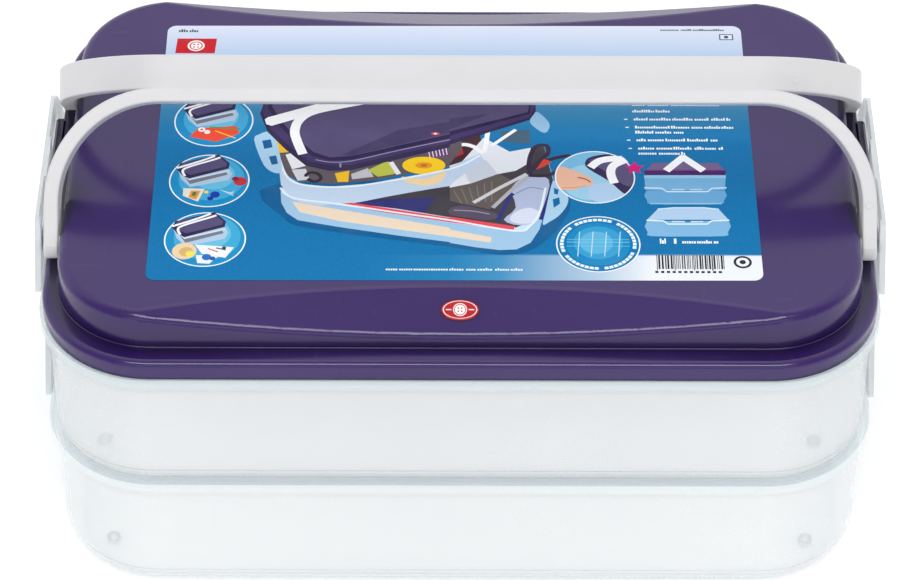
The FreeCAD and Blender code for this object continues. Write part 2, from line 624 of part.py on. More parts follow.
        # edges that run along the strap: they do not cross its 8 mm thickness
        cross = abs((bb.XMax - bb.XMin) - P["strap_thick"]) < 0.01 and bb.YMax - bb.YMin < 0.01
        through = bb.ZMax - bb.ZMin > 10 and bb.XMax - bb.XMin < 0.01 and bb.YMax - bb.YMin < 0.01
        if not cross and not through:
            sel.append(i + 1)
    soft.Edges = [(i, 1.1, 1.1) for i in sel]
    doc.recompute()
    strap = soft

    stubs = []
    for sx in (1, -1):
        stubs.append(cylinder("%s_stub_%d" % (label, sx > 0), P["stub_rad"],
                              P["arm_out"] - P["strap_thick"] - P["stub_tip"] + 1.0,
                              "dims.stub_rad",
                              "dims.arm_out - dims.strap_thick - dims.stub_tip + 1",
                              V(sx * P["stub_tip"], 0, 0), V(sx, 0, 0)))
    whole = multi_fuse(label + "_whole", [strap] + stubs)
    whole.Label = label
    # local +Y (pivot to grip) points up and inward; local +Z points up and outward
    # at rest each strap stands at this angle above the lid's top plane
    turn = Rot(V(1, 0, 0), P["handle_lean"])
    if side > 0:
        turn = Rot(V(0, 0, 1), 180).multiply(turn)
    whole.Placement = FreeCAD.Placement(V(0, side * P["pivot_y"], Z_PIV), turn)
    nodes[label] = whole
    return whole


make_handle("handle_front", -1)
make_handle("handle_rear", 1)


# ------------------------------------------------------------------ the flaps
# A thin plate with two windows, rounded upper corners and, along its lower
# edge, a thin web ending in a round bead that turns in front of the tray's rail.
def make_flap(label, sx, lift, e_lift):
    zh = P["foot_high"] + P["tray_high"] - P["hinge_drop"]
    e_zh = "dims.foot_high + dims.tray_high - dims.hinge_drop"
    top = P["foot_high"] + P["tray_high"] + 24.4
    e_top = "dims.foot_high + dims.tray_high + 24.4"
    body = new_body(label + "_plate")
    sk = new_sketch(body, label + "_sk", role="YZ_Plane", z=P["flap_in"], z_expr="dims.flap_in")
    lo, hi = P["flap_low_half"], P["flap_top_half"]
    foot, e_foot = zh + P["web_high"], e_zh + " + dims.web_high"
    pts = [(-lo, foot, "-dims.flap_low_half", e_foot), (lo, foot, "dims.flap_low_half", e_foot),
           (lo - 0.8, zh + 4.5, "dims.flap_low_half - 0.8", e_zh + " + 4.5"),
           (hi, top, "dims.flap_top_half", e_top), (-hi, top, "-dims.flap_top_half", e_top),
           (-lo + 0.8, zh + 4.5, "-dims.flap_low_half + 0.8", e_zh + " + 4.5")]
    closed_outline(sk, pts)
    pad(body, label + "_pad", sk, P["flap_thick"], "dims.flap_thick")
    # round the upper corners seen from the end
    def corner(e):
        b = e.BoundBox
        return (b.XMax - b.XMin > P["flap_thick"] - 0.01 and b.YMax - b.YMin < 0.01
                and b.ZMax - b.ZMin < 0.01 and b.ZMin > zh + 10)
    fillet(body, label + "_corners", edges_where(body.Tip.Shape, corner), 8.0, "8")
    # the two windows
    zw = P["foot_high"] + P["tray_high"] + P["win_rise"]
    e_zw = "dims.foot_high + dims.tray_high + dims.win_rise"
    wins = new_body(label + "_windows")
    sk = new_sketch(wins, label + "_win_sk", role="YZ_Plane", z=P["flap_in"] - 2, z_expr="dims.flap_in - 2")
    w = P["win_wide"] / 2
    for sy in (1, -1):
        m = sy * P["lug_mid"]
        em = "dims.lug_mid" if sy > 0 else "-dims.lug_mid"
        closed_outline(sk, [
            (m - w, zw, em + " - dims.win_wide / 2", e_zw),
            (m + w, zw, em + " + dims.win_wide / 2", e_zw),
            (m + w, zw + P["win_high"], em + " + dims.win_wide / 2", e_zw + " + dims.win_high"),
            (m - w, zw + P["win_high"], em + " - dims.win_wide / 2", e_zw + " + dims.win_high")])
    pad(wins, label + "_win_pad", sk, 10.0, "10")
    up = [e for e in edges_where(wins.Tip.Shape, lambda e: e.BoundBox.XMax - e.BoundBox.XMin > 5)]
    fillet(wins, label + "_win_round", up, 1.5, "1.5")
    # relief behind the upper bar, so the lugs pass up behind the closed flap
    rel = new_body(label + "_relief")
    sk = new_sketch(rel, label + "_rel_sk", role="YZ_Plane", z=P["flap_in"] - 2, z_expr="dims.flap_in - 2")
    wr = P["lug_wide"] / 2 + 0.6
    for sy in (1, -1):
        m = sy * P["lug_mid"]
        em = "dims.lug_mid" if sy > 0 else "-dims.lug_mid"
        closed_outline(sk, [
            (m - wr, zw + 4, em + " - dims.lug_wide / 2 - 0.6", e_zw + " + 4"),
            (m + wr, zw + 4, em + " + dims.lug_wide / 2 + 0.6", e_zw + " + 4"),
            (m + wr, top + 4, em + " + dims.lug_wide / 2 + 0.6", e_top + " + 4"),
            (m - wr, top + 4, em + " - dims.lug_wide / 2 - 0.6", e_top + " + 4")])
    pad(rel, label + "_rel_pad", sk, P["relief_x"] - P["flap_in"] + 2, "dims.relief_x - dims.flap_in + 2")
    plate = cut(label + "_cut", body, multi_fuse(label + "_air", [wins, rel]))
    bead = cylinder(label + "_bead", P["hinge_rad"], 2 * P["flap_low_half"] - 8, "dims.hinge_rad",
                    "2 * dims.flap_low_half - 8",
                    V(P["hinge_x"], -P["flap_low_half"] + 4, zh), V(0, 1, 0))
    web = doc.addObject("Part::Box", label + "_web")
    web.Length, web.Width, web.Height = P["web_thick"], 2 * P["flap_low_half"] - 8, P["web_high"] + 0.4
    web.setExpression("Length", "dims.web_thick")
    web.setExpression("Width", "2 * dims.flap_low_half - 8")
    web.setExpression("Height", "dims.web_high + 0.4")
    web.Placement = FreeCAD.Placement(V(P["hinge_x"] - P["web_thick"] / 2, -P["flap_low_half"] + 4, zh), Rot())
    whole = multi_fuse(label + "_whole", [plate, bead, web])
    whole.Label = label
    whole.Placement = FreeCAD.Placement(V(0, 0, lift), side_turn(sx))
    if e_lift:
        whole.setExpression("Placement.Base.z", e_lift)
    nodes[label] = whole
    return whole


make_flap("flap_lower_left", -1, 0.0, None)
make_flap("flap_lower_right", 1, 0.0, None)
make_flap("flap_upper_left", -1, P["stack_pitch"], "dims.stack_pitch")
make_flap("flap_upper_right", 1, P["stack_pitch"], "dims.stack_pitch")
doc.recompute()

# ------------------------------------------------------------ checks and files
for ob in doc.Objects:
    if "Invalid" in ob.State or "Error" in ob.State:
        raise RuntimeError("%s is %s" % (ob.Name, ob.State))
for name, ob in nodes.items():
    s = ob.Shape
    if s.isNull() or not s.isValid() or s.Volume < 1:
        raise RuntimeError("%s has a bad shape" % name)

os.makedirs("parts", exist_ok=True)
for name, ob in nodes.items():
    s = ob.Shape
    bb = s.BoundBox
    print("%-18s solids %d  volume %10.1f  X %.2f..%.2f  Y %.2f..%.2f  Z %.2f..%.2f" % (
        name, len(s.Solids), s.Volume, bb.XMin, bb.XMax, bb.YMin, bb.YMax, bb.ZMin, bb.ZMax))
    s.exportStep("parts/%s.step" % name)
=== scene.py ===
import bpy, bmesh, math, random
from mathutils import Vector, Matrix
from mathutils.geometry import delaunay_2d_cdt


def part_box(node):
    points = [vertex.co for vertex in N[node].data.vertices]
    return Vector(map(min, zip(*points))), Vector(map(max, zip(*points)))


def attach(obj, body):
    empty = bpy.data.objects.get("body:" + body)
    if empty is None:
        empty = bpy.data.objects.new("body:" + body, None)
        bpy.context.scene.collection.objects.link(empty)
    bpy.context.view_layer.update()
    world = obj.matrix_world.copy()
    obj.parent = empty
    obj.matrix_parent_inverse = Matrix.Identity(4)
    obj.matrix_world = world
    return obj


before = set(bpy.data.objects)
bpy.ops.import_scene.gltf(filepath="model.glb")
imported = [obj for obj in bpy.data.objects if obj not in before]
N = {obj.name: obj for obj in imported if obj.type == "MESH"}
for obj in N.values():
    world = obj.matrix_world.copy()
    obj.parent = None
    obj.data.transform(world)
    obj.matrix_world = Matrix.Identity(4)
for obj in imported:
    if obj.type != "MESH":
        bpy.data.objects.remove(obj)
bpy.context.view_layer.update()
scene = bpy.context.scene
random.seed(4)

# ------------------------------------------------------------------ camera
ELEV, DIST, ROLL, ZT, X0 = math.radians(42.29), 1.996, 0.17, 0.0849, 0.0002
view_dir = Vector((0, math.cos(ELEV), -math.sin(ELEV)))
target = Vector((X0, 0, ZT))
cam_data = bpy.data.cameras.new("camera")
cam_data.lens = 144.72
cam_data.sensor_width = 36.0
cam_data.clip_start, cam_data.clip_end = 0.05, 30.0
cam = bpy.data.objects.new("camera", cam_data)
scene.collection.objects.link(cam)
rot = view_dir.to_track_quat("-Z", "Y").to_matrix().to_4x4()
cam.matrix_world = (Matrix.Translation(target - view_dir * DIST) @ rot
                    @ Matrix.Rotation(math.radians(ROLL), 4, "Z"))
scene.camera = cam


# --------------------------------------------------------------- materials
def lin(c):
    return tuple(v / 255 / 12.92 if v / 255 <= 0.04045
                 else ((v / 255 + 0.055) / 1.055) ** 2.4 for v in c)


class Mat:
    """A Principled material with object-space noise helpers."""

    def __init__(self, name, **sockets):
        self.m = bpy.data.materials.new(name)
        self.m.use_nodes = True
        self.t = self.m.node_tree
        self.b = self.t.nodes["Principled BSDF"]
        for k, v in sockets.items():
            self.b.inputs[k.replace("_", " ")].default_value = v
        self.tc = self.t.nodes.new("ShaderNodeTexCoord")

    def new(self, kind, **props):
        n = self.t.nodes.new("ShaderNode" + kind)
        for k, v in props.items():
            setattr(n, k, v)
        return n

    def link(self, a, b):
        self.t.links.new(a, b)

    def coords(self, scale=(1, 1, 1)):
        mp = self.new("Mapping")
        mp.inputs["Scale"].default_value = scale
        self.link(self.tc.outputs["Object"], mp.inputs["Vector"])
        return mp.outputs["Vector"]

    def noise(self, scale, detail=3.0, rough=0.5, stretch=(1, 1, 1)):
        n = self.new("TexNoise")
        n.inputs["Scale"].default_value = scale
        n.inputs["Detail"].default_value = detail
        n.inputs["Roughness"].default_value = rough
        self.link(self.coords(stretch), n.inputs["Vector"])
        return n.outputs["Fac"]

    def ramp(self, fac, stops, interp="LINEAR"):
        r = self.new("ValToRGB")
        r.color_ramp.interpolation = interp
        e = r.color_ramp.elements
        for k, (pos, col) in enumerate(stops):
            el = e[k] if k < 2 else e.new(pos)
            el.position = pos
            el.color = (*col[:3], 1.0)
        self.link(fac, r.inputs["Fac"])
        return r.outputs["Color"]

    def remap(self, fac, lo, hi, a=0.3, b=0.7):
        r = self.new("MapRange")
        r.inputs["From Min"].default_value, r.inputs["From Max"].default_value = a, b
        r.inputs["To Min"].default_value, r.inputs["To Max"].default_value = lo, hi
        self.link(fac, r.inputs["Value"])
        return r.outputs["Result"]

    def math(self, op, a, b):
        n = self.new("Math", operation=op)
        for k, v in enumerate((a, b)):
            if isinstance(v, (int, float)):
                n.inputs[k].default_value = v
            else:
                self.link(v, n.inputs[k])
        return n.outputs[0]

    def mix(self, fac, a, b, blend="MIX"):
        n = self.new("Mix", data_type="RGBA", blend_type=blend)
        for k, v in ((0, fac), (6, a), (7, b)):
            if isinstance(v, (int, float)):
                n.inputs[k].default_value = v
            elif isinstance(v, tuple):
                n.inputs[k].default_value = (*v[:3], 1.0)
            else:
                self.link(v, n.inputs[k])
        return n.outputs[2]

    def color(self, out):
        self.link(out, self.b.inputs["Base Color"])

    def rough(self, out):
        self.link(out, self.b.inputs["Roughness"])

    def bump(self, *layers):
        """layers: (height output, distance in metres, strength)"""
        last = None
        for h, dist, st in layers:
            n = self.new("Bump")
            n.inputs["Strength"].default_value = st
            n.inputs["Distance"].default_value = dist
            self.link(h, n.inputs["Height"])
            if last:
                self.link(last, n.inputs["Normal"])
            last = n.outputs["Normal"]
        self.link(last, self.b.inputs["Normal"])


def assign(obj, m):
    if not obj.material_slots:
        obj.data.materials.append(m)
    for s in obj.material_slots:
        s.material = m


# dark violet glossy moulding
lid = Mat("lid_violet", IOR=1.5)
cloud = lid.noise(14, 3)
scuff = lid.noise(260, 4, 0.65, (1, 0.12, 1))
scuff2 = lid.noise(240, 4, 0.65, (0.12, 1, 1))
lines = lid.math("MAXIMUM", lid.remap(scuff, 0, 1, 0.62, 0.8), lid.remap(scuff2, 0, 1, 0.62, 0.8))
# painted shade: the colour goes to near-black violet where the AO node finds nooks, such as the channel round the
# dome's foot
ao = lid.new("AmbientOcclusion", samples=8)
ao.inputs["Distance"].default_value = 0.022
painted_nook_shade = lid.remap(ao.outputs["AO"], 1.0, 0.0, 0.58, 0.93)
lid.color(lid.mix(painted_nook_shade,
                  lid.mix(lid.math("MULTIPLY", lines, 0.10),
                          lid.ramp(cloud, [(0.35, (0.0285, 0.0092, 0.102)), (0.65, (0.0330, 0.0115, 0.113))]),
                          (0.14, 0.12, 0.22)),
                  (0.0060, 0.0020, 0.0300)))
lid.rough(lid.math("ADD", lid.remap(cloud, 0.15, 0.19), lid.math("MULTIPLY", lines, 0.14)))
lid.bump((lid.noise(38, 2), 0.0009, 0.03), (lid.noise(1500, 2), 0.00003, 0.08))

# milky translucent moulding of the trays; the faint bluish-white emission is painted light standing in for light
# passing through the walls
tray = Mat("tray_milky", IOR=1.45, Alpha=0.36,
           Emission_Color=(0.93, 0.97, 1.0, 1.0), Emission_Strength=0.105)
milk = tray.noise(9, 4, 0.6)
grain = tray.noise(900, 3)
flow = tray.noise(26, 3, 0.5, (0.35, 0.35, 1.6))
tsep = tray.new("SeparateXYZ")
tray.link(tray.tc.outputs["Object"], tsep.inputs[0])
tz = tsep.outputs["Z"]


def near(z, half, soft):
    d = tray.math("ABSOLUTE", tray.math("SUBTRACT", tz, z), 0.0)
    return tray.remap(d, 1.0, 0.0, half, half + soft)


# painted shade: a darker band round the upper rim, where the lid's skirt shades it, and a fainter one round the lower
# tray's rim
rim_shade_bands = tray.math("MAXIMUM", tray.math("MULTIPLY", near(0.1509, 0.0032, 0.0006), 2.0),
                  near(0.0775, 0.0030, 0.0006))
# painted shade: thin darker lines along the rim and foot edges, where the walls are seen edge-on
edge_shade_lines = None
for z in (0.1472, 0.1543, 0.0738, 0.0809, 0.0138, 0.0872, 0.0020):
    n = near(z, 0.00012, 0.00045)
    edge_shade_lines = n if edge_shade_lines is None else tray.math("MAXIMUM", edge_shade_lines, n)
painted_tray_shade = tray.math("MAXIMUM", tray.math("MULTIPLY", rim_shade_bands, 0.30), tray.math("MULTIPLY", edge_shade_lines, 0.95))
# painted shade at the corners and along the end walls, where the walls are seen edge-on: |x| and |y| both near their
# ends
ax_ = tray.math("ABSOLUTE", tsep.outputs["X"], 0.0)
corner_shade = tray.remap(tray.math("ADD", ax_, tray.math("ABSOLUTE", tsep.outputs["Y"], 0.0)), 0, 0.32, 0.300, 0.345)
painted_tray_shade = tray.math("MAXIMUM", painted_tray_shade, corner_shade)
painted_tray_shade = tray.math("MAXIMUM", painted_tray_shade, tray.remap(ax_, 0, 0.30, 0.2040, 0.2085))
# the colour goes towards dark blue-grey wherever the painted shade masks above are set
tray.color(tray.mix(painted_tray_shade,
                    tray.mix(tray.remap(flow, 0, 0.16),
                             tray.ramp(milk, [(0.35, (0.955, 0.968, 0.972)), (0.65, (0.97, 0.98, 0.982))]),
                             (0.90, 0.935, 0.95)),
                    (0.46, 0.57, 0.61)))
tray.rough(tray.math("ADD", tray.remap(milk, 0.20, 0.28), tray.remap(grain, -0.03, 0.03)))
tray.bump((flow, 0.0008, 0.05), (grain, 0.00004, 0.22))

# the flaps: the same resin, thinner and a shade cooler
flap = Mat("flap_milky", IOR=1.45, Alpha=0.50)
fm = flap.noise(30, 4, 0.6)
fg = flap.noise(1100, 3)
flap.color(flap.ramp(fm, [(0.35, (0.66, 0.72, 0.76)), (0.65, (0.72, 0.77, 0.80))]))
flap.rough(flap.math("ADD", flap.remap(fm, 0.28, 0.38), flap.remap(fg, -0.03, 0.03)))
flap.bump((fm, 0.0005, 0.08), (fg, 0.00004, 0.22))

# satin white handles; their faint emission is painted light that lifts the shaded undersides
hand = Mat("handle_satin", IOR=1.46, Emission_Color=(0.96, 0.95, 1.0, 1.0), Emission_Strength=0.11)
hc = hand.noise(22, 4, 0.55)
hg = hand.noise(1300, 2)
hs = hand.noise(420, 3, 0.6, (0.1, 1, 1))
hand.color(hand.ramp(hc, [(0.35, (0.535, 0.535, 0.545)), (0.65, (0.57, 0.57, 0.575))]))
hand.rough(hand.math("ADD", hand.remap(hc, 0.36, 0.46), hand.remap(hs, -0.03, 0.05)))
hand.bump((hc, 0.0008, 0.04), (hg, 0.00004, 0.30))

# printed film of the top label: pale at the rear edge, deep blue from the
# middle forward, fading to white along the front strip towards +X
label = Mat("label_film_print", IOR=1.45, Specular_IOR_Level=0.06)
sep = label.new("SeparateXYZ")
label.link(label.tc.outputs["Object"], sep.inputs[0])
wob = label.noise(7, 3)
yy = label.math("ADD", sep.outputs["Y"], label.math("MULTIPLY", label.math("SUBTRACT", wob, 0.5), 0.006))
ty = label.remap(yy, 0, 1, -0.102, 0.1044)


def ypos(y):
    return (y + 102.0) / 206.4


back = label.ramp(ty, [(ypos(4), lin((0, 116, 176))), (ypos(18), lin((24, 126, 181))),
                       (ypos(31), lin((58, 139, 188))), (ypos(51), lin((118, 170, 212))),
                       (ypos(66), lin((158, 192, 226))), (ypos(78), lin((184, 206, 234))),
                       (ypos(92), lin((207, 219, 241))), (ypos(104), lin((224, 230, 246)))])
tx = label.remap(sep.outputs["X"], 0, 1, -0.05, 0.11)
strip = label.ramp(tx, [(0.0, lin((0, 116, 176))), (0.28, lin((26, 128, 184))), (0.44, lin((66, 146, 195))),
                        (0.75, lin((184, 206, 228))), (0.92, lin((240, 244, 248)))])
low = label.remap(sep.outputs["Y"], 1, 0, -0.0830, -0.0816)
dots = label.noise(1700, 1)
label.color(label.mix(0.09, label.mix(label.remap(dots, 0, 0.02), label.mix(low, back, strip), (0.85, 0.9, 0.95)),
                      (0.0, 0.02, 0.04)))
label.rough(label.remap(wob, 0.34, 0.44))
label.bump((label.noise(46, 3), 0.0004, 0.10), (dots, 0.00002, 0.15))

# inks laid on the film: colour held in the "ink" attribute
ink = Mat("label_inks", IOR=1.45, Specular_IOR_Level=0.06)
at = ink.new("Attribute", attribute_name="ink")
idots = ink.noise(1700, 1)
iw = ink.noise(60, 3)
ink.color(ink.mix(ink.remap(idots, 0, 0.05), ink.mix(ink.remap(iw, 0, 0.02), at.outputs["Color"], (0.9, 0.9, 0.9)),
                  (0.02, 0.05, 0.10)))
ink.rough(ink.remap(iw, 0.34, 0.46))
ink.bump((idots, 0.00002, 0.15))

# glossy red badge
badge = Mat("badge_red", IOR=1.5)
bn = badge.noise(120, 3)
badge.color(badge.ramp(bn, [(0.35, (0.42, 0.002, 0.006)), (0.65, (0.50, 0.004, 0.010))]))
badge.rough(badge.remap(bn, 0.16, 0.26))
badge.bump((badge.noise(900, 2), 0.00003, 0.15))

for name, m in (("tray_lower", tray), ("tray_upper", tray), ("lid", lid), ("top_label", label),
                ("badge", badge), ("handle_front", hand), ("handle_rear", hand),
                ("flap_lower_left", flap), ("flap_lower_right", flap),
                ("flap_upper_left", flap), ("flap_upper_right", flap)):
    assign(N[name], m.m)


# ------------------------------------------------------------ printed sheets
def sheet_of(name, shapes, place, thick, body, m):
    """One flat layer of ink: overlapping outlines are split against each
    other and each piece keeps the colour of the outline drawn last."""
    verts, faces, cols = [], [], []
    for c, pts in shapes:
        q = []
        for p in pts:
            if not q or (Vector(p) - Vector(q[-1])).length > 0.02:
                q.append(p)
        if len(q) > 2 and (Vector(q[0]) - Vector(q[-1])).length <= 0.02:
            q.pop()
        if len(q) < 3:
            continue
        area = sum(q[k - 1][0] * q[k][1] - q[k][0] * q[k - 1][1] for k in range(len(q)))
        if area < 0:
            q.reverse()
        faces.append(list(range(len(verts), len(verts) + len(q))))
        verts += [Vector(p) for p in q]
        cols.append(c)
    vs, es, fs, ov, oe, of = delaunay_2d_cdt(verts, [], faces, 1, 1e-3, True)
    shapes_at = []
    for f, c in zip(faces, cols):
        q = [verts[k] for k in f]
        shapes_at.append((min(p.x for p in q), max(p.x for p in q),
                          min(p.y for p in q), max(p.y for p in q), q, c))
    shapes_at.reverse()

    def ink_at(x, y):
        for xa, xb, ya, yb, q, c in shapes_at:
            if xa <= x <= xb and ya <= y <= yb:
                wind = 0
                for k in range(len(q)):
                    a, b = q[k - 1], q[k]
                    if (a.y <= y) != (b.y <= y):
                        if a.x + (y - a.y) / (b.y - a.y) * (b.x - a.x) > x:
                            wind += 1 if b.y > a.y else -1
                if wind:
                    return c
        return None

    bm = bmesh.new()
    top = [bm.verts.new(place @ Vector((v.x, v.y, thick))) for v in vs]
    lay = bm.loops.layers.float_color.new("ink")
    for f in fs:
        c = ink_at(sum(vs[k].x for k in f) / 3, sum(vs[k].y for k in f) / 3)
        if c is None:
            continue
        try:
            face = bm.faces.new([top[k] for k in f])
        except ValueError:
            continue
        for lp in face.loops:
            lp[lay] = (*lin(c), 1.0)
    bmesh.ops.delete(bm, geom=[v for v in bm.verts if not v.link_faces], context="VERTS")
    bmesh.ops.recalc_face_normals(bm, faces=bm.faces)
    up = place.to_3x3() @ Vector((0, 0, 1))
    if bm.faces and bm.faces[:][0].normal.dot(up) < 0:
        bmesh.ops.reverse_faces(bm, faces=bm.faces)
    for f in bm.faces:
        if f.normal.dot(up) < 0:
            f.normal_flip()
    me = bpy.data.meshes.new(name)
    bm.to_mesh(me)
    bm.free()
    ob = bpy.data.objects.new(name, me)
    scene.collection.objects.link(ob)
    ob.data.materials.append(m)
    so = ob.modifiers.new("thick", "SOLIDIFY")
    so.thickness = thick * 0.001 * 0.8
    so.offset = -1
    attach(ob, body)
    return ob


# drawing helpers, in millimetres on the label's plane
ART = []


def poly(c, pts):
    ART.append((c, pts))


def ell(c, cx, cy, rx, ry=None, n=28):
    ry = ry or rx
    poly(c, [(cx + rx * math.cos(2 * math.pi * i / n), cy + ry * math.sin(2 * math.pi * i / n))
             for i in range(n)])


def line(c, pts, w):
    left, right = [], []
    for i, (x, y) in enumerate(pts):
        x0, y0 = pts[max(0, i - 1)]
        x1, y1 = pts[min(len(pts) - 1, i + 1)]
        dx, dy = x1 - x0, y1 - y0
        d = math.hypot(dx, dy) or 1
        nx, ny = -dy / d * w / 2, dx / d * w / 2
        left.append((x + nx, y + ny))
        right.append((x - nx, y - ny))
    for i in range(len(pts) - 1):
        poly(c, [left[i], left[i + 1], right[i + 1], right[i]])


def spline(p, t):
    return tuple(0.5 * ((2 * p[1][j]) + (-p[0][j] + p[2][j]) * t
                        + (2 * p[0][j] - 5 * p[1][j] + 4 * p[2][j] - p[3][j]) * t * t
                        + (-p[0][j] + 3 * p[1][j] - 3 * p[2][j] + p[3][j]) * t ** 3) for j in (0, 1))


def smooth(pts, n=5):
    out = []
    for i in range(len(pts) - 1):
        q = (pts[max(0, i - 1)], pts[i], pts[i + 1], pts[min(len(pts) - 1, i + 2)])
        out += [spline(q, k / n) for k in range(n)]
    return out + [pts[-1]]


def closed(pts, n=4):
    m = len(pts)
    return [spline((pts[i - 1], pts[i], pts[(i + 1) % m], pts[(i + 2) % m]), k / n)
            for i in range(m) for k in range(n)]


def words(c, x0, x1, y, h, lo=4, hi=11, gap=1.3):
    """A row of plain upright blocks grouped like words; not lettering."""
    x = x0
    while x < x1 - 2:
        w = min(random.uniform(lo, hi), x1 - x)
        k = x
        while k < x + w:
            bw = random.uniform(0.7, 1.1)
            hh = h * random.choice((0.75, 0.75, 0.75, 1.15))
            poly(c, [(k, y), (k + bw, y), (k + bw, y + hh), (k, y + hh)])
            k += bw + 0.32
        x += w + gap


# ---------------- main picture
poly((0,92,146),closed([(-94.2, -27.8), (-90.1, -54.4), (-71.5, -63.5), (-5.3, -76.2), (20, -82.2), (37.2, -77.6), (51.7, -58.4), (56.1, -39.7), (43, -27.1)]))
poly((158,196,226),[(-92.7, -30.9), (-91.8, -42.7), (-88.7, -50.5), (-82.9, -56.2), (-61.3, -61.5), (-30.7, -68), (-5.3, -72.7), (-5.3, -73.3), (7.8, -76.6), (20, -78.7), (28.6, -78.1), (35.7, -73), (40.2, -63), (43.2, -49.1), (48.2, -23.9), (43.4, 3.3), (19.3, -12.9), (-5.5, -28.9)])
poly((205,224,240),[(-92.5, -30.9), (-91.6, -35.6), (-85.5, -40.3), (-61.8, -44.6), (-30.9, -51.3), (-5.4, -56.8), (-5.4, -57.4), (27.7, -64.9), (33.3, -63.1), (38.5, -56.9), (41.7, -46), (39.7, -42.9), (28.2, -60), (-5.4, -53.2), (-31, -47.1), (-61.9, -41), (-84.6, -35.6)])
poly((234,214,190),[(-86.5, -41.6), (-61.7, -48), (-5.4, -61.7), (-5.3, -63.2), (16, -69), (15.4, -73.1), (-5.3, -68.6), (-5.3, -68.6), (-61.5, -56.9), (-82.1, -50)])
poly((62,58,66),[(-53.6, -42), (-5.5, -28.9), (-5.5, -28.9), (18.3, -15.3), (36.1, 1.6), (43.4, 3), (47.7, -23.1), (41, -53.8), (28.2, -61.5), (-5.4, -53.2), (-5.4, -53.7)])
poly((46,46,112),[(-55.7, -43), (-41.4, -39.8), (-12.6, -38.1), (-18.2, -49.7)])
poly((232,72,86),[(-63.3, -43.3), (-55.7, -42.5), (-5.4, -54), (-5.4, -53.2), (27.7, -60.5), (27.2, -63.9), (-5.4, -57.4), (-5.4, -57.4), (-41.2, -49.5)])
poly((96,88,84),[(-5.5, -30.5), (20.3, -19.6), (29.1, -26.4), (15.1, -47.4), (0.7, -43), (-5.4, -40.7)])
for k in range(6):
    line((128, 120, 112), [(-3.4 + 3.92 * k, -32.9 + 1.44 * k), (0.7 + 3.08 * k, -43.0 + 0.33 * k)], 0.5)
poly((176,186,216),closed([(26.4, -30.4), (35.8, -20), (45.6, -23.9), (43.8, -39.7), (39.5, -55.3), (30.3, -59.7), (22.2, -55.4), (28.4, -46)],3))
poly((214,220,238),closed([(28.3, -49.2), (35.5, -46), (40.6, -49.9), (38.5, -56.9), (30.3, -58.5), (25.2, -55.4)],3))
line((120,128,170),smooth([(28.5, -35.1), (35.7, -30.3), (43.9, -31.9)]),0.6)
line((40,44,120),[(19.1, -57), (25.4, -36.7), (27.4, -35.1)],2.2)
line((40,44,120),[(41, -55.3), (46, -35), (47.7, -23.9)],2.0)
poly((70,32,40),[(-5.7, 9.6), (10.1, 16.2), (11.1, -1.7), (0.7, -11.4), (-5.6, -13)])
poly((180,40,48),[(-4.6, -0.1), (0.6, 2.3), (1.7, -3.4), (-3.5, -6.6)])
poly((70,96,116),[(20.5, 14.6), (36.3, 16.3), (36.1, 4.9), (22.6, 6.5)])
poly((228,231,238),[(-5.6, -13), (0.7, -9.8), (12.1, 9.7), (25.6, -1.6), (36.6, 1.6), (35.1, -11.2), (28.6, -16.9), (19.3, -19.6), (4.8, -27.3), (-5.5, -30.5)])
poly((202,208,222),[(0.7, -13), (13.1, -8.1), (19.3, -19.6), (4.8, -27)])
line((246,247,250),smooth([(-7.7, -1.8), (0.6, 3.9), (6.9, 2.3), (12.1, -1.7), (14.2, 14.6)]),2.6)
line((246,247,250),[(16.3, 3.2), (28.9, 16.3)],2.0)
line((205,205,208),[(6.7, -42.2), (20.3, -30.4), (34.3, -19.5)],2.2)
line((176,176,182),[(16.6, -46.1), (25.4, -33.5), (35.8, -20.8)],2.2)
line((52,38,62),closed([(35.4, -16.8), (36, -6.4), (39.2, 2.5), (45, 3.3), (45.4, -3.1), (41.2, -8.8), (37.5, -14.4)],4),2.4)
line((52,38,62),closed([(35.3, -19.2), (43.2, -9.6), (52.6, -5.5), (56.8, -5.5), (52.5, -14.4), (46.2, -20), (38.9, -20.8)],4),2.4)
poly((214,60,44),[(39, -16), (43.3, -7.2), (47.4, -9.6), (43.2, -13.6)])
poly((86,76,96),closed([(-5.4, -47), (0.7, -44.6), (9.9, -46.9), (17.6, -50), (18.6, -53.9), (12, -55.8), (0.7, -53.2), (-5.4, -51.6)],4))
line((150,142,160),smooth([(-3.4, -48.1), (6.9, -48.9), (15, -51.1)]),0.8)
# right-hand flap of the lower tray
poly((168,206,232),closed([(43.5, -49.1), (47.7, -24.7), (50.7, -30.2), (55.2, -36.5), (54.5, -44.4), (50.3, -52.2), (45.6, -56.8), (42, -59.2)],3))
poly((10,104,162),[(47.4, -39.4), (50.8, -37.8), (51.1, -42.8), (47.8, -46)])
poly((10,104,162),[(48.1, -30.3), (50.6, -31.8), (50, -35.8), (48.2, -35)])
